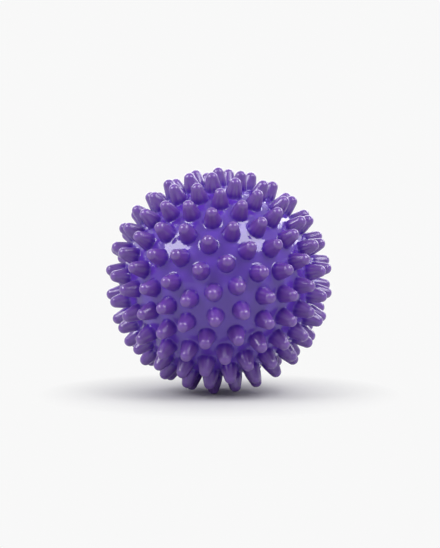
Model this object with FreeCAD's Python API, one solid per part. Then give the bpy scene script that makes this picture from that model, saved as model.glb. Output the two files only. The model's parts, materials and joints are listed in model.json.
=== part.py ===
"""Spiky massage ball: two bonded hollow half shells with radial spikes, a weld bead
along the parting line, and an air valve with a removable plug at the rear pole.

Millimetres, +Z up. The ball rests on three spike tips. The origin is on the surface it
rests on, under the middle of the ball.
"""
import FreeCAD, Part
import math
import os

from FreeCAD import Rotation, Vector

# ---------------------------------------------------------------- driving dimensions
BALL_RADIUS = 45.0          # centre to spike tip
SPIKE_HEIGHT = 7.4          # skin to spike tip
TIP_RADIUS = 2.25           # rounded end of a spike
FLANK_ANGLE = 15.0          # lean of a spike's side from its own axis, below the round end
SPIKE_RADIUS = 3.3          # straight foot of a spike
WALL = 2.8                  # thickness of the skin between spikes
ROOT_DEPTH = 0.6            # how far a spike's foot starts below the skin's face

# Spikes stand in rings about the mould's pole, from the pole to the parting line.
RING_COUNTS = (1, 6, 12, 17, 22, 25, 26)
RING_TURNS = (0.0, 45.5, 13.0, 6.5, 7.5, 8.0, 6.0)
HALF_STEPS = 6.5            # ring spacings between a pole and the parting line
REAR_TWIST = 4.5            # how far the rear mould half sits turned about the pole

# The three tips that the ball stands on: two in the last ring, one in the ring before.
RESTING_SPIKES = ((6, 12), (6, 13), (5, 12))
POLE_HEADING = -120.0       # where the front pole looks, about +Z, from +X

# Joint between the halves: a lip on the rear shell inside a rebate in the front shell.
LIP_THICKNESS = 1.3
LIP_HEIGHT = 2.6
BEAD_THICKNESS = 0.7
BEAD_PROUD = 0.15

# Air valve.
VALVE_BARREL_RADIUS = 2.7
VALVE_FLANGE_RADIUS = 5.2
VALVE_FLANGE_THICKNESS = 1.4
VALVE_FLANGE_DROP = 0.3     # flat flange below the crown of the hollow, so its edge seats
VALVE_COLLAR_RADIUS = 3.7
VALVE_COLLAR_THICKNESS = 1.0
VALVE_NECK_RADIUS = 2.4
VALVE_NECK_LENGTH = 4.5
AIR_HOLE_RADIUS = 1.3
PLUG_CLEARANCE = 0.05
PLUG_HEAD_RADIUS = 2.1
PLUG_HEAD_THICKNESS = 0.8
PLUG_TIP_RADIUS = 0.7
PLUG_TIP_LENGTH = 1.2
PLUG_PULL_SLOT_RADIUS = 0.5

# ---------------------------------------------------------------- derived dimensions
SKIN_RADIUS = BALL_RADIUS - SPIKE_HEIGHT
HOLLOW_RADIUS = SKIN_RADIUS - WALL
LIP_OUTER_RADIUS = HOLLOW_RADIUS + LIP_THICKNESS
RING_STEP = 90.0 / HALF_STEPS
HALF_BEAD = BEAD_THICKNESS / 2
ORIGIN = Vector(0, 0, 0)
POLE = Vector(0, 0, 1)


# ---------------------------------------------------------------- spike pattern
def spike_direction(ring, index, side):
    """Unit vector of one spike in the mould's frame; side is 1 in front, -1 behind."""
    polar = math.radians(ring * RING_STEP)
    twist = 0.0 if side > 0 else REAR_TWIST
    turn = math.radians(RING_TURNS[ring] + twist + index * 360.0 / RING_COUNTS[ring])
    flat = math.sin(polar)
    return Vector(flat * math.cos(turn), flat * math.sin(turn), side * math.cos(polar))


def spike_directions(side, first_ring=0):
    """Directions of every spike on one half, from first_ring to the parting line."""
    found = []
    for ring in range(first_ring, len(RING_COUNTS)):
        for index in range(RING_COUNTS[ring]):
            found.append(spike_direction(ring, index, side))
    return found


def resting_rotation():
    """Turn from the mould's frame to the ball's frame, with the three tips level."""
    feet = [spike_direction(ring, index, 1) for ring, index in RESTING_SPIKES]
    down = (feet[1] - feet[0]).cross(feet[2] - feet[0]).normalize()
    if down.dot(feet[0]) < 0:
        down = down * -1
    level = Rotation(down, Vector(0, 0, -1))
    pole = level.multVec(POLE)
    heading = math.degrees(math.atan2(pole.y, pole.x))
    return Rotation(Vector(0, 0, 1), POLE_HEADING - heading) * level


def resting_offset(turn):
    """Move that puts the middle of the ball's box over the origin and its foot at 0."""
    directions = spike_directions(1) + spike_directions(-1, first_ring=1)
    reach = BALL_RADIUS - TIP_RADIUS
    tips = [turn.multVec(direction) * reach for direction in directions]
    middle_x = (max(tip.x for tip in tips) + min(tip.x for tip in tips)) / 2
    middle_y = (max(tip.y for tip in tips) + min(tip.y for tip in tips)) / 2
    lowest = min(tip.z for tip in tips) - TIP_RADIUS
    return Vector(-middle_x, -middle_y, -lowest)


# ---------------------------------------------------------------- solids in the mould's frame
def lathe(points):
    """Solid turned about the Z axis from (radius, height) corners joined by lines."""
    corners = [Vector(radius, 0, height) for radius, height in points]
    wire = Part.makePolygon(corners + corners[:1])
    return Part.Face(wire).revolve(ORIGIN, POLE, 360)


def make_spike(direction):
    """One spike: a straight foot, a leaning side and a round tip."""
    lean = math.radians(FLANK_ANGLE)
    tip_centre = BALL_RADIUS - TIP_RADIUS
    meet_radius = TIP_RADIUS * math.cos(lean)
    meet_height = tip_centre + TIP_RADIUS * math.sin(lean)
    foot_height = SKIN_RADIUS - ROOT_DEPTH
    foot_top = meet_height - (SPIKE_RADIUS - meet_radius) / math.tan(lean)
    shoulder = math.radians((FLANK_ANGLE + 90.0) / 2)
    round_middle = Vector(
        TIP_RADIUS * math.cos(shoulder), 0, tip_centre + TIP_RADIUS * math.sin(shoulder)
    )
    foot_centre = Vector(0, 0, foot_height)
    foot_edge = Vector(SPIKE_RADIUS, 0, foot_height)
    foot_end = Vector(SPIKE_RADIUS, 0, foot_top)
    meet = Vector(meet_radius, 0, meet_height)
    tip = Vector(0, 0, BALL_RADIUS)
    outline = Part.Wire([
        Part.makeLine(foot_centre, foot_edge),
        Part.makeLine(foot_edge, foot_end),
        Part.makeLine(foot_end, meet),
        Part.Arc(meet, round_middle, tip).toShape(),
        Part.makeLine(tip, foot_centre),
    ])
    spike = Part.Face(outline).revolve(ORIGIN, POLE, 360)
    spike.Placement = FreeCAD.Placement(ORIGIN, Rotation(POLE, direction))
    return spike


def half_skin(side):
    """Hollow half ball whose rim stops half a bead short of the parting plane."""
    outside = Part.makeSphere(SKIN_RADIUS)
    hollow = Part.makeSphere(HOLLOW_RADIUS)
    size = 3 * BALL_RADIUS
    low = HALF_BEAD if side > 0 else -HALF_BEAD - size
    keep = Part.makeBox(size, size, size, Vector(-size / 2, -size / 2, low))
    return outside.cut(hollow).common(keep)


def ring_band(inner, outer, low, high):
    """Plain cylindrical band about the pole."""
    return lathe([(inner, low), (outer, low), (outer, high), (inner, high)])


def make_front_shell():
    rebate = ring_band(HOLLOW_RADIUS - WALL, LIP_OUTER_RADIUS, 0, LIP_HEIGHT)
    skin = half_skin(1).cut(rebate)
    spikes = [make_spike(direction) for direction in spike_directions(1)]
    return skin.multiFuse(spikes)


def make_rear_shell():
    lip_foot = -HALF_BEAD - WALL
    lip = ring_band(HOLLOW_RADIUS, LIP_OUTER_RADIUS, lip_foot, LIP_HEIGHT)
    skin = half_skin(-1).fuse(lip)
    spikes = [make_spike(direction) for direction in spike_directions(-1, first_ring=1)]
    return skin.multiFuse(spikes).cut(valve_blank())


def make_seam_bead():
    """Weld bead between the rims, standing a hair proud of the skin."""
    inner = LIP_OUTER_RADIUS
    face = SKIN_RADIUS
    crown = Vector(face + BEAD_PROUD, 0, 0)
    low = Vector(face, 0, -HALF_BEAD)
    high = Vector(face, 0, HALF_BEAD)
    inner_low = Vector(inner, 0, -HALF_BEAD)
    inner_high = Vector(inner, 0, HALF_BEAD)
    outline = Part.Wire([
        Part.makeLine(inner_low, low),
        Part.Arc(low, crown, high).toShape(),
        Part.makeLine(high, inner_high),
        Part.makeLine(inner_high, inner_low),
    ])
    return Part.Face(outline).revolve(ORIGIN, POLE, 360)


# The valve's profiles are given outwards along the rear pole, so heights are radii.
def turned_to_rear(solid):
    solid.Placement = FreeCAD.Placement(ORIGIN, Rotation(Vector(1, 0, 0), 180))
    return solid


def valve_blank():
    """Outer shape of the valve body: collar, barrel, inner flange and neck."""
    face = SKIN_RADIUS
    shelf = face - VALVE_COLLAR_THICKNESS
    flange_top = HOLLOW_RADIUS - VALVE_FLANGE_DROP
    flange_low = flange_top - VALVE_FLANGE_THICKNESS
    blank = lathe([
        (0, face),
        (VALVE_COLLAR_RADIUS, face),
        (VALVE_COLLAR_RADIUS, shelf),
        (VALVE_BARREL_RADIUS, shelf),
        (VALVE_BARREL_RADIUS, flange_top),
        (VALVE_FLANGE_RADIUS, flange_top),
        (VALVE_FLANGE_RADIUS, flange_low),
        (VALVE_NECK_RADIUS, flange_low),
        (VALVE_NECK_RADIUS, flange_low - VALVE_NECK_LENGTH),
        (0, flange_low - VALVE_NECK_LENGTH),
    ])
    return turned_to_rear(blank)


def make_valve_body():
    face = SKIN_RADIUS
    recess = lathe([
        (0, face - PLUG_HEAD_THICKNESS),
        (PLUG_HEAD_RADIUS + PLUG_CLEARANCE, face - PLUG_HEAD_THICKNESS),
        (PLUG_HEAD_RADIUS + PLUG_CLEARANCE, face + 1),
        (0, face + 1),
    ])
    air_hole = Part.makeCylinder(AIR_HOLE_RADIUS, SKIN_RADIUS)
    return valve_blank().cut(turned_to_rear(recess)).cut(turned_to_rear(air_hole))


def make_valve_plug():
    """Flush head, straight stem in the air hole, tapered lead-in and a pull slot."""
    face = SKIN_RADIUS
    shoulder = face - PLUG_HEAD_THICKNESS
    stem_radius = AIR_HOLE_RADIUS - PLUG_CLEARANCE
    stem_end = HOLLOW_RADIUS - VALVE_FLANGE_THICKNESS - VALVE_NECK_LENGTH / 2
    plug = lathe([
        (0, face),
        (PLUG_HEAD_RADIUS, face),
        (PLUG_HEAD_RADIUS, shoulder),
        (stem_radius, shoulder),
        (stem_radius, stem_end),
        (PLUG_TIP_RADIUS, stem_end - PLUG_TIP_LENGTH),
        (0, stem_end - PLUG_TIP_LENGTH),
    ])
    slot_start = Vector(-PLUG_HEAD_RADIUS - 1, 0, face)
    slot = Part.makeCylinder(
        PLUG_PULL_SLOT_RADIUS, 2 * PLUG_HEAD_RADIUS + 2, slot_start, Vector(1, 0, 0)
    )
    return turned_to_rear(plug.cut(slot))


# ---------------------------------------------------------------- assembly
MAKERS = {
    "front_shell": make_front_shell,
    "rear_shell": make_rear_shell,
    "seam_bead": make_seam_bead,
    "valve_body": make_valve_body,
    "valve_plug": make_valve_plug,
}


def main():
    os.makedirs("parts", exist_ok=True)
    turn = resting_rotation()
    place = FreeCAD.Placement(resting_offset(turn), turn)
    for name, maker in MAKERS.items():
        solid = maker()
        solid.Placement = place * solid.Placement
        solid.exportStep(f"parts/{name}.step")
        box = solid.BoundBox
        print(name, len(solid.Solids), "solid", solid.isValid(), round(solid.Volume, 1),
              "mm3, z", round(box.ZMin, 3), "to", round(box.ZMax, 3))
    centre = place.multVec(ORIGIN)
    valve_axis = turn.multVec(POLE) * -1
    print("centre", [round(value, 4) for value in centre])
    print("valve axis", [round(value, 6) for value in valve_axis])


main()
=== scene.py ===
"""Spiky massage ball: the visible model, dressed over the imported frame. Metres, +Z up."""

import json
import math

import bmesh
import bpy
import numpy as np
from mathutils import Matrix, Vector
from mathutils.geometry import delaunay_2d_cdt


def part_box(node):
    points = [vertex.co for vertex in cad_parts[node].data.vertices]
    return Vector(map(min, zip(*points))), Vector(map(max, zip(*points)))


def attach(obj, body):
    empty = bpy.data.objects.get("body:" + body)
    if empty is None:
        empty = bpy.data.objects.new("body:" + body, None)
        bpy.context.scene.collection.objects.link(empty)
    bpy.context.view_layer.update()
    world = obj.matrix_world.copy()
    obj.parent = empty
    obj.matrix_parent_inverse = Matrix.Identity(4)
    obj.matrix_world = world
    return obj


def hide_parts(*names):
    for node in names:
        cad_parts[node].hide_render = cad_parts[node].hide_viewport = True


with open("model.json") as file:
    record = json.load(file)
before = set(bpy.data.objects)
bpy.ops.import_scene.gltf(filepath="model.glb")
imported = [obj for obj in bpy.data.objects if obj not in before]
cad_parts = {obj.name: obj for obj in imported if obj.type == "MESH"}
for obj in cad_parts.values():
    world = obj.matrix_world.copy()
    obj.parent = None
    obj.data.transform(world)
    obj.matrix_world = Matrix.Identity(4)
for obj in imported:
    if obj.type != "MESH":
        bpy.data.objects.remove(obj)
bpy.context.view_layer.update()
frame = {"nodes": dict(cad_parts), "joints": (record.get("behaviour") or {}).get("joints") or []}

# ---------------------------------------------------------------- sizes, as on the frame
BALL_RADIUS = 0.045          # centre to spike tip
SKIN_RADIUS = 0.0376         # centre to the skin between spikes
HOLLOW_RADIUS = 0.0348       # centre to the inside of the skin
TIP_RADIUS = 0.00225         # rounded end of a spike
FLANK_ANGLE = math.radians(15.0)
SPIKE_RADIUS = 0.0033        # straight foot of a spike
LIP_OUTER_RADIUS = 0.0361    # lip that joins the halves
LIP_HEIGHT = 0.0026
HALF_BEAD = 0.00035
VALVE_COLLAR_RADIUS = 0.0037
VALVE_COLLAR_DEPTH = 0.0010
VALVE_BARREL_RADIUS = 0.0027

RING_COUNTS = (1, 6, 12, 17, 22, 25, 26)
RING_TURNS = (0.0, 45.5, 13.0, 6.5, 7.5, 8.0, 6.0)
RING_STEP = 90.0 / 6.5
REAR_TWIST = 4.5
RESTING_SPIKES = ((6, 12), (6, 13), (5, 12))

# ---------------------------------------------------------------- how fine the skin is
ROOT_BLEND = 0.0006          # reach of the rounding between a spike and the skin
FOOT_BLEND = 0.0003          # and between a spike's leaning side and its straight foot
SPIKE_BLEND = 0.0004         # and between two neighbouring spikes
NEAR_SPIKES = 4              # spikes that can shape one point of the skin
HALVINGS = 36                # steps of the search for the skin along a direction
OUTLINE_STEPS = 1500         # steps along a spike's outline when its rings are spaced
SPIKE_SIDES = 32
SPIKE_RINGS = 22
SPIKE_FIELD = math.radians(5.9)    # part of the skin that belongs to a spike's own grid
RIM_POINTS = 364
VALVE_POINTS = 48
FLASH_POINTS = 1456
FLASH_STEPS = 7
FLASH_PROUD = 0.00018        # how far the flash stands out of the skin
FILL_SPACING = 0.0007        # between points of the skin that aren't on a spike's grid
FILL_CLEARANCE = 0.6         # part of a spacing that such points keep from any loop
HOLLOW_SPACING = 0.0030
HOLLOW_CLEARANCE = 0.5
LEAN_SPREAD = math.radians(0.18)   # spikes are never quite straight out of the mould
SHORTEST_BY = 0.00015        # how much shorter than its full height a spike can be
SHARP_ANGLE = math.radians(38.0)

# ---------------------------------------------------------------- studio and camera
PAPER_NEAR = 0.05            # paper takes light and shadow this near the ball's centre
PAPER_FAR = 0.085            # and is evenly white from here on
PAPER_LEVEL = 0.94           # brightness of that even white
PAPER_TINT = 192             # grey of the lit paper, out of 255
CAMERA_DISTANCE = 11 * BALL_RADIUS
CAMERA_ELEVATION = 2.1
CAMERA_LENS = 81.8
CAMERA_AIM = (0.0004, 0.0, 0.0026)     # the ball sits a little low in the frame

POLE = np.array([0.0, 0.0, 1.0])
chance = np.random.default_rng(7)


# ---------------------------------------------------------------- spike pattern
def spike_direction(ring, index, side):
    """Unit vector of one spike about the mould's pole; side is 1 in front, -1 behind."""
    polar = math.radians(ring * RING_STEP)
    twist = 0.0 if side > 0 else REAR_TWIST
    turn = math.radians(RING_TURNS[ring] + twist + index * 360.0 / RING_COUNTS[ring])
    flat = math.sin(polar)
    return np.array([flat * math.cos(turn), flat * math.sin(turn), side * math.cos(polar)])


def unit(vectors):
    """The same directions, each one long."""
    return vectors / np.linalg.norm(vectors, axis=-1, keepdims=True)


def two_axis_frame(first, second):
    """Rotation whose columns are first, what of second is square to it, and their cross."""
    along = unit(np.asarray(first, float))
    square = unit(second - along * np.dot(second, along))
    return np.column_stack([along, square, np.cross(along, square)])


class Spikes:
    """Every spike's axis, height and half, in the mould's frame."""

    def __init__(self):
        axes, sides, lengths = [], [], []
        for side in (1, -1):
            for ring in range(0 if side > 0 else 1, len(RING_COUNTS)):
                for index in range(RING_COUNTS[ring]):
                    held = side > 0 and (ring, index) in RESTING_SPIKES
                    loose = 0.0 if held else 1.0
                    lean = chance.uniform(-LEAN_SPREAD, LEAN_SPREAD, 3) * loose
                    axes.append(spike_direction(ring, index, side) + lean)
                    lengths.append(BALL_RADIUS - TIP_RADIUS - chance.uniform(0, SHORTEST_BY) * loose)
                    sides.append(side)
        self.axes = unit(np.array(axes))
        self.sides = np.array(sides)
        self.tip_centres = np.array(lengths)
        self.tones = chance.uniform(0.0, 20.0, len(axes))


spikes = Spikes()


def mould_to_ball():
    """Rotation from the mould's frame to the ball as it stands."""
    feet = [spike_direction(ring, index, 1) for ring, index in RESTING_SPIKES]
    down = unit(np.cross(feet[1] - feet[0], feet[2] - feet[0]))
    down = down * math.copysign(1.0, down @ feet[0])
    valve_axis = np.array(frame["joints"][0]["axis"], float)
    standing = two_axis_frame(-valve_axis, np.array([0.0, 0.0, -1.0]))
    return standing @ two_axis_frame(POLE, down).T


def ball_centre():
    """Middle of the bead, which is the middle of the ball."""
    low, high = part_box("seam_bead")
    return (np.array(low) + np.array(high)) / 2


TURN = mould_to_ball()
CENTRE = ball_centre()


def stand(points):
    """Points in the mould's frame, about the ball's centre, moved to where the ball is."""
    return np.asarray(points) @ TURN.T + CENTRE


# ---------------------------------------------------------------- shape of the skin
def soft_union(first, second, reach):
    """Smaller of two distances, rounded where they are within reach of each other."""
    near = np.maximum(reach - np.abs(first - second), 0.0) / reach
    return np.minimum(first, second) - near * near * reach / 4


def spike_distance(radius, cosine, sine, tip_centre):
    """Distance to a spike from a point at that radius and angle from the spike's axis."""
    out = radius * sine
    up = radius * cosine - tip_centre
    flank = out * math.cos(FLANK_ANGLE) + up * math.sin(FLANK_ANGLE) - TIP_RADIUS
    side = -soft_union(-flank, SPIKE_RADIUS - out, FOOT_BLEND)
    at_tip = up * math.cos(FLANK_ANGLE) > out * math.sin(FLANK_ANGLE)
    return np.where(at_tip, np.hypot(out, up) - TIP_RADIUS, side)


def blended_radius(cosine, tip_centre):
    """Skin's distance from the centre, given the cosines to a few spikes, one a column."""
    sine = np.sqrt(1.0 - np.clip(cosine, -1.0, 1.0) ** 2)
    low = np.full(len(cosine), SKIN_RADIUS * 0.99)
    high = np.full(len(cosine), BALL_RADIUS * 1.01)
    for _ in range(HALVINGS):
        middle = (low + high) / 2
        gaps = spike_distance(middle[:, None], cosine, sine, tip_centre)
        spiky = gaps[:, 0]
        for column in range(1, gaps.shape[1]):
            spiky = soft_union(spiky, gaps[:, column], SPIKE_BLEND)
        outside = soft_union(middle - SKIN_RADIUS, spiky, ROOT_BLEND) > 0
        high = np.where(outside, middle, high)
        low = np.where(outside, low, middle)
    return (low + high) / 2


def skin_radius(directions):
    """How far the skin is from the ball's centre along each unit direction."""
    cosines = directions @ spikes.axes.T
    nearest = np.argsort(-cosines, axis=1)[:, :NEAR_SPIKES]
    cosine = np.take_along_axis(cosines, nearest, axis=1)
    return blended_radius(cosine, spikes.tip_centres[nearest])


def ring_angles():
    """Angles from a spike's axis that cut its outline into equal lengths."""
    angles = np.linspace(0.0, SPIKE_FIELD, OUTLINE_STEPS)
    radii = blended_radius(np.cos(angles)[:, None], BALL_RADIUS - TIP_RADIUS)
    outline = np.column_stack([radii * np.sin(angles), radii * np.cos(angles)])
    steps = np.linalg.norm(np.diff(outline, axis=0), axis=1)
    length = np.concatenate([[0.0], np.cumsum(steps)])
    wanted = np.linspace(0.0, length[-1], SPIKE_RINGS + 1)[1:]
    return np.interp(wanted, length, angles)


def side_axes(axis):
    """Two directions square to an axis and to each other."""
    helper = np.array([1.0, 0.0, 0.0]) if abs(axis[2]) > 0.9 else POLE
    first = unit(np.cross(helper, axis))
    return first, np.cross(axis, first)


def circle_directions(axis, angle, count):
    """Directions in a cone about an axis, count of them, evenly round it."""
    first, second = side_axes(axis)
    turns = np.arange(count) * 2 * math.pi / count
    across = np.cos(turns)[:, None] * first + np.sin(turns)[:, None] * second
    return math.cos(angle) * axis + math.sin(angle) * across


def even_directions(spacing):
    """Directions spread evenly over the whole sphere, about spacing radians apart."""
    count = int(4 * math.pi / spacing ** 2)
    index = np.arange(count) + 0.5
    height = 1 - 2 * index / count
    turns = index * math.pi * (1 + math.sqrt(5))
    flat = np.sqrt(1 - height ** 2)
    return np.column_stack([flat * np.cos(turns), flat * np.sin(turns), height])


# ---------------------------------------------------------------- mesh building
class Shape:
    """A mesh that grows by runs of points and by strips of faces between closed loops."""

    def __init__(self):
        self.points = []
        self.faces = []
        self.count = 0

    def add(self, points):
        points = np.atleast_2d(points)
        start = self.count
        self.points.append(points)
        self.count += len(points)
        return np.arange(start, self.count)

    def bridge(self, first, second):
        after = np.roll(np.arange(len(first)), -1)
        strip = np.column_stack([first, first[after], second[after], second])
        self.faces.extend(strip.tolist())

    def fan(self, middle, loop):
        after = np.roll(loop, -1)
        self.faces.extend([[int(middle), int(a), int(b)] for a, b in zip(loop, after)])

    def chain(self, loops):
        for first, second in zip(loops, loops[1:]):
            self.bridge(first, second)

    def to_object(self, name, body, material, stands_for):
        points = stand(np.concatenate(self.points))
        mesh = bpy.data.meshes.new(name)
        mesh.from_pydata(points.tolist(), [], self.faces)
        mesh.validate()
        outward(mesh)
        mesh.shade_smooth()
        mesh.set_sharp_from_angle(angle=SHARP_ANGLE)
        mesh.materials.append(material)
        piece = bpy.data.objects.new(name, mesh)
        bpy.context.scene.collection.objects.link(piece)
        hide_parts(stands_for)
        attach(piece, body)
        return piece


def outward(mesh):
    """Turns every face of a closed mesh outwards."""
    work = bmesh.new()
    work.from_mesh(mesh)
    bmesh.ops.recalc_face_normals(work, faces=work.faces)
    work.to_mesh(mesh)
    work.free()


def cap_triangles(loops, fill, side):
    """Triangles over one half's directions, with every loop kept as an edge."""
    everything = np.concatenate(loops + [fill])
    flat = everything[:, :2] / (1 + side * everything[:, 2:3])
    edges = []
    start = 0
    for loop in loops:
        own = np.arange(start, start + len(loop))
        edges.extend(zip(own.tolist(), np.roll(own, -1).tolist()))
        start += len(loop)
    found = delaunay_2d_cdt([Vector(point) for point in flat], edges, [], 0, 1e-9)
    source = np.array([origins[0] for origins in found[3]])
    return source[np.array(found[2])]


def outside_circles(triangles, directions, axes, angle, sides):
    """The triangles that aren't inside the many-sided circle round any of the axes."""
    middle = unit(directions[triangles].mean(axis=1))
    inner = (1 + 2 * math.cos(2 * math.pi / sides)) / 3
    outer = math.cos(math.pi / sides)
    limit = math.cos(angle * (inner + outer) / 2)
    return triangles[(middle @ axes.T).max(axis=1) < limit]


def circle_loop(radius, height, count):
    """Closed loop of points about the pole."""
    turns = np.arange(count) * 2 * math.pi / count
    flat = [radius * np.cos(turns), radius * np.sin(turns), np.full(count, height)]
    return np.column_stack(flat)


def outer_skin(shape, side):
    """One half's outer skin with its spikes. Returns the rim loop and the valve loop."""
    axes = spikes.axes[spikes.sides == side]
    angles = ring_angles()
    rim = unit(circle_loop(SKIN_RADIUS, side * HALF_BEAD, RIM_POINTS))
    loops = [rim]
    valve_angle = math.asin(VALVE_COLLAR_RADIUS / SKIN_RADIUS)
    if side < 0:
        loops.append(circle_directions(-POLE, valve_angle, VALVE_POINTS))
    grids = [[circle_directions(axis, a, SPIKE_SIDES) for a in angles] for axis in axes]
    loops += [grid[-1] for grid in grids]
    fill = even_directions(FILL_SPACING / SKIN_RADIUS)
    clear = FILL_CLEARANCE * FILL_SPACING / SKIN_RADIUS
    keep = (fill @ axes.T).max(axis=1) < math.cos(SPIKE_FIELD + clear)
    keep &= side * fill[:, 2] > HALF_BEAD / SKIN_RADIUS + clear
    if side < 0:
        keep &= -fill[:, 2] < math.cos(valve_angle + clear)
    fill = fill[keep]
    triangles = cap_triangles(loops, fill, side)
    directions = np.concatenate(loops + [fill])
    triangles = outside_circles(triangles, directions, axes, SPIKE_FIELD, SPIKE_SIDES)
    if side < 0:
        seat = -POLE[None, :]
        triangles = outside_circles(triangles, directions, seat, valve_angle, VALVE_POINTS)
    index = shape.add(directions * skin_radius(directions)[:, None])
    shape.faces.extend(index[triangles].tolist())
    start = RIM_POINTS + (VALVE_POINTS if side < 0 else 0)
    for axis, grid in zip(axes, grids):
        outer = index[start:start + SPIKE_SIDES]
        start += SPIKE_SIDES
        inner = np.concatenate(grid[:-1] + [axis[None, :]])
        own = shape.add(inner * skin_radius(inner)[:, None])
        rings = [own[i * SPIKE_SIDES:(i + 1) * SPIKE_SIDES] for i in range(len(grid) - 1)]
        shape.chain(rings + [outer])
        shape.fan(own[-1], rings[0])
    return index[:RIM_POINTS], index[RIM_POINTS:RIM_POINTS + VALVE_POINTS]


def hollow_skin(shape, side, rim):
    """Inside of one half, out to the rim's loop of directions. Returns both its loops."""
    loops = [rim]
    valve_angle = math.asin(VALVE_BARREL_RADIUS / HOLLOW_RADIUS)
    fill = even_directions(HOLLOW_SPACING / HOLLOW_RADIUS)
    clear = HOLLOW_CLEARANCE * HOLLOW_SPACING / HOLLOW_RADIUS
    keep = side * fill[:, 2] > side * rim[0, 2] + clear
    if side < 0:
        loops.append(circle_directions(-POLE, valve_angle, VALVE_POINTS))
        keep &= -fill[:, 2] < math.cos(valve_angle + clear)
    fill = fill[keep]
    triangles = cap_triangles(loops, fill, side)
    directions = np.concatenate(loops + [fill])
    if side < 0:
        seat = -POLE[None, :]
        triangles = outside_circles(triangles, directions, seat, valve_angle, VALVE_POINTS)
    index = shape.add(directions * HOLLOW_RADIUS)
    shape.faces.extend(index[triangles].tolist())
    return index[:RIM_POINTS], index[RIM_POINTS:RIM_POINTS + VALVE_POINTS]


def mark_spikes(piece):
    """Gives each point its turn round its own spike, for marks that run along spikes."""
    mesh = piece.data
    points = np.empty(len(mesh.vertices) * 3)
    mesh.vertices.foreach_get("co", points)
    directions = unit((points.reshape(-1, 3) - CENTRE) @ TURN)
    own = np.argmax(directions @ spikes.axes.T, axis=1)
    firsts = np.array([side_axes(axis)[0] for axis in spikes.axes])
    seconds = np.cross(spikes.axes, firsts)
    across = np.column_stack([
        (directions * firsts[own]).sum(axis=1),
        (directions * seconds[own]).sum(axis=1),
    ])
    across /= np.maximum(np.linalg.norm(across, axis=1, keepdims=True), 1e-6)
    marks = np.column_stack([across, spikes.tones[own]])
    layer = mesh.attributes.new("spike_turn", "FLOAT_VECTOR", "POINT")
    layer.data.foreach_set("vector", marks.ravel())


def front_half(material):
    """Front half with the rebate that takes the other half's lip."""
    shape = Shape()
    rim, _ = outer_skin(shape, 1)
    hollow_rim = math.sqrt(HOLLOW_RADIUS ** 2 - LIP_HEIGHT ** 2)
    loops = [rim]
    for radius, height in ((LIP_OUTER_RADIUS, HALF_BEAD), (LIP_OUTER_RADIUS, LIP_HEIGHT)):
        loops.append(shape.add(circle_loop(radius, height, RIM_POINTS)))
    edge = unit(circle_loop(hollow_rim, LIP_HEIGHT, RIM_POINTS))
    inner, _ = hollow_skin(shape, 1, edge)
    shape.chain(loops + [inner])
    piece = shape.to_object("front_shell_skin", "ball", material, "front_shell")
    mark_spikes(piece)


def rear_half(material):
    """Rear half with the lip and the valve's seat."""
    shape = Shape()
    rim, collar = outer_skin(shape, -1)
    hollow_rim = math.sqrt(HOLLOW_RADIUS ** 2 - HALF_BEAD ** 2)
    loops = [rim]
    lip = (
        (LIP_OUTER_RADIUS, -HALF_BEAD),
        (LIP_OUTER_RADIUS, LIP_HEIGHT),
        (HOLLOW_RADIUS, LIP_HEIGHT),
    )
    for radius, height in lip:
        loops.append(shape.add(circle_loop(radius, height, RIM_POINTS)))
    edge = unit(circle_loop(hollow_rim, -HALF_BEAD, RIM_POINTS))
    inner, barrel = hollow_skin(shape, -1, edge)
    shape.chain(loops + [inner])
    shelf = VALVE_COLLAR_DEPTH - SKIN_RADIUS
    turned = circle_directions(-POLE, math.pi / 2, VALVE_POINTS)
    seat = [collar]
    for radius in (VALVE_COLLAR_RADIUS, VALVE_BARREL_RADIUS):
        seat.append(shape.add(turned * radius + POLE * shelf))
    shape.chain(seat + [barrel])
    piece = shape.to_object("rear_shell_skin", "ball", material, "rear_shell")
    mark_spikes(piece)


def uneven(turns, waves, seed):
    """Steady rise and fall round the ball, from -1 to 1, made of waves (count, weight)."""
    phases = np.random.default_rng(seed).uniform(0, 2 * math.pi, len(waves))
    total = sum(weight for _, weight in waves)
    height = np.zeros_like(turns)
    for (count, weight), phase in zip(waves, phases):
        height += weight * np.sin(count * turns + phase)
    return height / total


def seam_flash(material):
    """Weld bead in the parting line: a thin ridge, pinched and wrinkled where it set."""
    shape = Shape()
    turns = np.arange(FLASH_POINTS) * 2 * math.pi / FLASH_POINTS
    swell = uneven(turns, ((37, 1.0), (91, 1.0), (173, 1.0), (311, 0.8)), 3)
    wrinkle = uneven(turns, ((229, 1.0), (347, 1.0), (487, 0.7)), 5)
    loops = [shape.add(circle_loop(LIP_OUTER_RADIUS, -HALF_BEAD, FLASH_POINTS))]
    for step in np.linspace(-1.0, 1.0, FLASH_STEPS):
        crest = max(0.0, 1 - abs(step) ** 1.5)
        sway = step * HALF_BEAD + crest * wrinkle * HALF_BEAD * 0.45
        flat = circle_loop(SKIN_RADIUS, 0.0, FLASH_POINTS)
        flat[:, 2] = sway
        directions = unit(flat)
        proud = crest * FLASH_PROUD * (0.55 + 0.45 * swell + 0.25 * wrinkle)
        radius = skin_radius(directions) + np.maximum(proud, 0.0)
        loops.append(shape.add(directions * radius[:, None]))
    loops.append(shape.add(circle_loop(LIP_OUTER_RADIUS, HALF_BEAD, FLASH_POINTS)))
    shape.chain(loops + [loops[0]])
    shape.to_object("seam_flash", "ball", material, "seam_bead")


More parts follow.
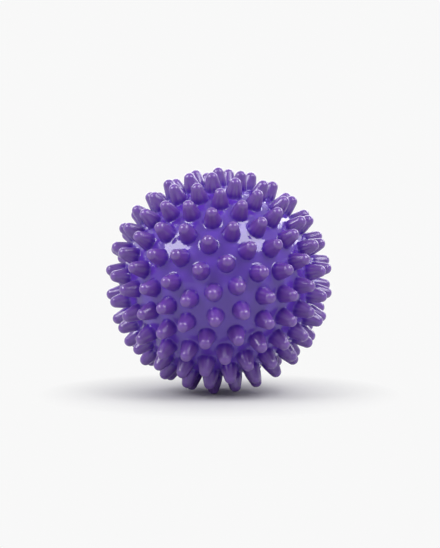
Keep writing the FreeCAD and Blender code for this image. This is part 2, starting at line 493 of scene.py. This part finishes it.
# ---------------------------------------------------------------- materials
class Paint:
    """A node material built up step by step."""

    def __init__(self, name):
        self.material = bpy.data.materials.new(name)
        self.material.use_nodes = True
        self.tree = self.material.node_tree
        self.shader = self.tree.nodes["Principled BSDF"]
        self.place = self.node("ShaderNodeTexCoord").outputs["Object"]

    def node(self, kind, **settings):
        made = self.tree.nodes.new(kind)
        for key, value in settings.items():
            setattr(made, key, value)
        return made

    def link(self, source, target):
        self.tree.links.new(source, target)

    def noise(self, scale, detail=3.0, roughness=0.5, vector=None):
        made = self.node("ShaderNodeTexNoise")
        made.inputs["Scale"].default_value = scale
        made.inputs["Detail"].default_value = detail
        made.inputs["Roughness"].default_value = roughness
        self.link(vector or self.place, made.inputs["Vector"])
        return made.outputs["Fac"]

    def spread(self, source, low, high, to_low=0.0, to_high=1.0):
        made = self.node("ShaderNodeMapRange")
        made.inputs["From Min"].default_value = low
        made.inputs["From Max"].default_value = high
        made.inputs["To Min"].default_value = to_low
        made.inputs["To Max"].default_value = to_high
        self.link(source, made.inputs["Value"])
        return made.outputs["Result"]

    def ramp(self, source, stops):
        made = self.node("ShaderNodeValToRGB")
        made.color_ramp.interpolation = "B_SPLINE"
        elements = made.color_ramp.elements
        while len(elements) < len(stops):
            elements.new(0.5)
        for element, (position, colour) in zip(elements, stops):
            element.position = position
            element.color = (*linear(colour), 1.0)
        self.link(source, made.inputs["Fac"])
        return made.outputs["Color"]

    def mix(self, kind, factor, first, second):
        made = self.node("ShaderNodeMix", data_type="RGBA", blend_type=kind)
        if isinstance(factor, float):
            made.inputs[0].default_value = factor
        else:
            self.link(factor, made.inputs[0])
        self.link(first, made.inputs[6])
        self.link(second, made.inputs[7])
        return made.outputs[2]

    def maths(self, operation, first, second):
        made = self.node("ShaderNodeMath", operation=operation)
        for value, socket in ((first, made.inputs[0]), (second, made.inputs[1])):
            if isinstance(value, float):
                socket.default_value = value
            else:
                self.link(value, socket)
        return made.outputs[0]

    def bump(self, height, depth, before=None):
        made = self.node("ShaderNodeBump")
        made.inputs["Distance"].default_value = depth
        self.link(height, made.inputs["Height"])
        if before:
            self.link(before, made.inputs["Normal"])
        return made.outputs["Normal"]

    def centre_distance(self):
        """Distance from the ball's centre."""
        away = self.node("ShaderNodeVectorMath", operation="DISTANCE")
        self.link(self.place, away.inputs[0])
        away.inputs[1].default_value = CENTRE.tolist()
        return away.outputs["Value"]


def linear(colour):
    """Screen colour, 0 to 255 a channel, as the linear numbers a shader wants."""
    screen = [channel / 255 for channel in colour]
    return [c / 12.92 if c <= 0.04045 else ((c + 0.055) / 1.055) ** 2.4 for c in screen]


def grey(value):
    return (value, value, value)


def pvc_material():
    """Glossy soft PVC, deep violet, with painted light on the spike tips and upper flanks (light
    shining through them) and painted shade at the spike roots.
    """
    paint = Paint("violet_pvc")
    shader = paint.shader.inputs
    lift = paint.spread(paint.centre_distance(), SKIN_RADIUS, BALL_RADIUS)
    # Colour by height above the skin: a band of painted shade at the spike roots, and painted light
    # from the middle of each spike to its tip.
    tint = paint.ramp(lift, (
        (0.0, (88, 45, 170)),
        (0.15, (84, 43, 164)),
        (0.34, (106, 66, 160)),
        (1.0, (104, 68, 152)),
    ))
    cloud = paint.ramp(paint.noise(110.0, 4.0), ((0.3, grey(240)), (0.7, grey(255))))
    tint = paint.mix("MULTIPLY", 1.0, tint, cloud)
    specks = paint.spread(paint.noise(5200.0, 1.0), 0.68, 0.80, 0.0, 0.25)
    pale = paint.ramp(specks, ((0.0, (110, 84, 156)), (1.0, (120, 92, 164))))
    paint.link(paint.mix("MIX", specks, tint, pale), shader["Base Color"])

    turn = paint.node("ShaderNodeAttribute", attribute_name="spike_turn").outputs["Vector"]
    drawn = paint.noise(4.5, 3.0, 0.6, vector=turn)
    on_flank = paint.spread(lift, 0.12, 0.40)
    off_tip = paint.spread(lift, 0.98, 0.85)
    drawn = paint.maths("MULTIPLY", drawn, paint.maths("MULTIPLY", on_flank, off_tip))
    normal = paint.bump(drawn, 0.00012)
    normal = paint.bump(paint.noise(130.0, 1.0), 0.00008, before=normal)
    paint.link(normal, shader["Normal"])
    patchy = paint.spread(paint.noise(260.0, 3.0), 0.3, 0.7, 0.035, 0.07)
    worn = paint.spread(lift, 0.55, 1.0, 0.0, 0.01)
    paint.link(paint.maths("ADD", patchy, worn), shader["Roughness"])
    shader["IOR"].default_value = 1.56
    shader["Coat Weight"].default_value = 0.25
    shader["Coat Roughness"].default_value = 0.32
    shader["Subsurface Weight"].default_value = 0.5
    shader["Subsurface Radius"].default_value = (0.7, 0.4, 1.0)
    shader["Subsurface Scale"].default_value = 0.0015
    return paint.material


def weld_material():
    """Same PVC, set in the open: rougher than the skin, in patches, and a little cloudier."""
    paint = Paint("violet_weld")
    shader = paint.shader.inputs
    tint = paint.ramp(paint.noise(900.0, 3.0), ((0.3, (84, 58, 160)), (0.7, (104, 76, 176))))
    paint.link(tint, shader["Base Color"])
    paint.link(paint.bump(paint.noise(1500.0, 3.0), 0.00005), shader["Normal"])
    paint.link(paint.spread(paint.noise(700.0), 0.3, 0.7, 0.12, 0.26), shader["Roughness"])
    shader["IOR"].default_value = 1.52
    shader["Subsurface Weight"].default_value = 0.3
    shader["Subsurface Radius"].default_value = (1.0, 0.55, 1.0)
    shader["Subsurface Scale"].default_value = 0.001
    return paint.material


def rubber_material():
    """Satin violet rubber of the valve, with a fine matt mould grain."""
    paint = Paint("valve_rubber")
    shader = paint.shader.inputs
    tint = paint.ramp(paint.noise(1400.0, 4.0), ((0.3, (58, 36, 118)), (0.7, (70, 46, 136))))
    paint.link(tint, shader["Base Color"])
    normal = paint.bump(paint.noise(9000.0, 2.0), 0.00001)
    paint.link(paint.bump(paint.noise(900.0, 2.0), 0.00003, before=normal), shader["Normal"])
    paint.link(paint.spread(paint.noise(3000.0), 0.3, 0.7, 0.42, 0.60), shader["Roughness"])
    return paint.material


def plug_material():
    """Hard violet plastic of the plug, its gloss varying in patches as if polished by handling."""
    paint = Paint("plug_plastic")
    shader = paint.shader.inputs
    tint = paint.ramp(paint.noise(1100.0, 4.0), ((0.3, (92, 68, 168)), (0.7, (106, 82, 180))))
    paint.link(tint, shader["Base Color"])
    paint.link(paint.bump(paint.noise(6000.0, 3.0), 0.00001), shader["Normal"])
    paint.link(paint.spread(paint.noise(2200.0), 0.3, 0.7, 0.24, 0.40), shader["Roughness"])
    return paint.material


def sweep_material():
    """White paper: lit and shaded about the ball, evenly bright further off."""
    paint = Paint("studio_paper")
    shader = paint.shader.inputs
    far = paint.spread(paint.centre_distance(), PAPER_NEAR, PAPER_FAR)
    tint = paint.ramp(paint.noise(3.0, 2.0), ((0.3, grey(PAPER_TINT)), (0.7, grey(PAPER_TINT + 1))))
    near = paint.maths("SUBTRACT", 1.0, far)
    paint.link(paint.mix("MULTIPLY", 1.0, tint, near), shader["Base Color"])
    shader["Emission Color"].default_value = (1.0, 1.0, 1.0, 1.0)
    paint.link(paint.maths("MULTIPLY", far, PAPER_LEVEL), shader["Emission Strength"])
    shader["Roughness"].default_value = 0.9
    shader["Specular IOR Level"].default_value = 0.0
    return paint.material


# ---------------------------------------------------------------- studio
def add_sweep():
    """Floor that curves up into a backdrop well behind the ball."""
    bend = 0.8
    front, back, top, half_width = -20.0, 2.2, 3.5, 12.0
    bend_steps = 24
    outline = [(front, 0.0)]
    for step in range(bend_steps + 1):
        angle = step / bend_steps * math.pi / 2
        outline.append((back + bend * math.sin(angle), bend * (1 - math.cos(angle))))
    outline.append((back + bend, top))
    points = []
    for side in (-half_width, half_width):
        points += [(side, y, z) for y, z in outline]
    run = len(outline)
    faces = [(i, i + 1, run + i + 1, run + i) for i in range(run - 1)]
    mesh = bpy.data.meshes.new("studio_sweep")
    mesh.from_pydata(points, [], faces)
    mesh.flip_normals()
    mesh.shade_smooth()
    mesh.materials.append(sweep_material())
    sweep = bpy.data.objects.new("studio_sweep", mesh)
    bpy.context.scene.collection.objects.link(sweep)


def add_softbox(name, direction, distance, size, power):
    """Rectangular area light, wide and high as size says, that faces the ball."""
    light = bpy.data.lights.new(name, "AREA")
    light.shape = "RECTANGLE"
    light.size, light.size_y = size
    light.energy = power
    lamp = bpy.data.objects.new(name, light)
    towards = Vector(direction).normalized()
    lamp.location = Vector(CENTRE) + towards * distance
    lamp.rotation_euler = towards.to_track_quat("Z", "Y").to_euler()
    bpy.context.scene.collection.objects.link(lamp)


def add_world(dim, bright):
    """White room round the ball, dimmer in front of it than behind."""
    dim_until, bright_from = -0.95, -0.25
    world = bpy.data.worlds.new("studio_room")
    world.use_nodes = True
    tree = world.node_tree
    place = tree.nodes.new("ShaderNodeTexCoord").outputs["Generated"]
    split = tree.nodes.new("ShaderNodeSeparateXYZ")
    tree.links.new(place, split.inputs["Vector"])
    level = tree.nodes.new("ShaderNodeMapRange")
    level.interpolation_type = "SMOOTHSTEP"
    level.inputs["From Min"].default_value = dim_until
    level.inputs["From Max"].default_value = bright_from
    level.inputs["To Min"].default_value = dim
    level.inputs["To Max"].default_value = bright
    tree.links.new(split.outputs["Y"], level.inputs["Value"])
    tree.links.new(level.outputs["Result"], tree.nodes["Background"].inputs["Strength"])
    tree.nodes["Background"].inputs["Color"].default_value = (1.0, 1.0, 1.0, 1.0)
    bpy.context.scene.world = world


def add_camera():
    """Long lens, level with the ball's middle and a little above it."""
    scene = bpy.context.scene
    data = bpy.data.cameras.new("camera")
    data.lens = CAMERA_LENS
    data.clip_start = 0.01
    camera = bpy.data.objects.new("camera", data)
    rise = math.radians(CAMERA_ELEVATION)
    back = Vector((0.0, -math.cos(rise), math.sin(rise)))
    eye = Vector(CENTRE) + back * CAMERA_DISTANCE
    aim = Vector(CENTRE) + Vector(CAMERA_AIM)
    camera.location = eye
    camera.rotation_euler = (eye - aim).to_track_quat("Z", "Y").to_euler()
    scene.collection.objects.link(camera)
    scene.camera = camera


pvc = pvc_material()
front_half(pvc)
rear_half(pvc)
seam_flash(weld_material())
valve_parts = {"valve_body": rubber_material(), "valve_plug": plug_material()}
for node, finish in valve_parts.items():
    slots = frame["nodes"][node].data.materials
    slots.clear()
    slots.append(finish)

add_sweep()
add_softbox("softbox_left", (-0.69, -0.36, 0.63), 2.0, (1.2, 0.9), 24.0)
add_softbox("softbox_right", (0.52, -0.41, 0.74), 2.0, (1.1, 1.2), 26.0)
add_softbox("softbox_back", (-0.05, 0.86, 0.50), 1.9, (2.4, 0.9), 14.0)
add_softbox("softbox_side", (0.66, 0.60, 0.50), 2.0, (1.0, 0.5), 7.0)
add_world(dim=0.55, bright=0.70)
add_camera()
bpy.context.scene.view_settings.view_transform = "Standard"
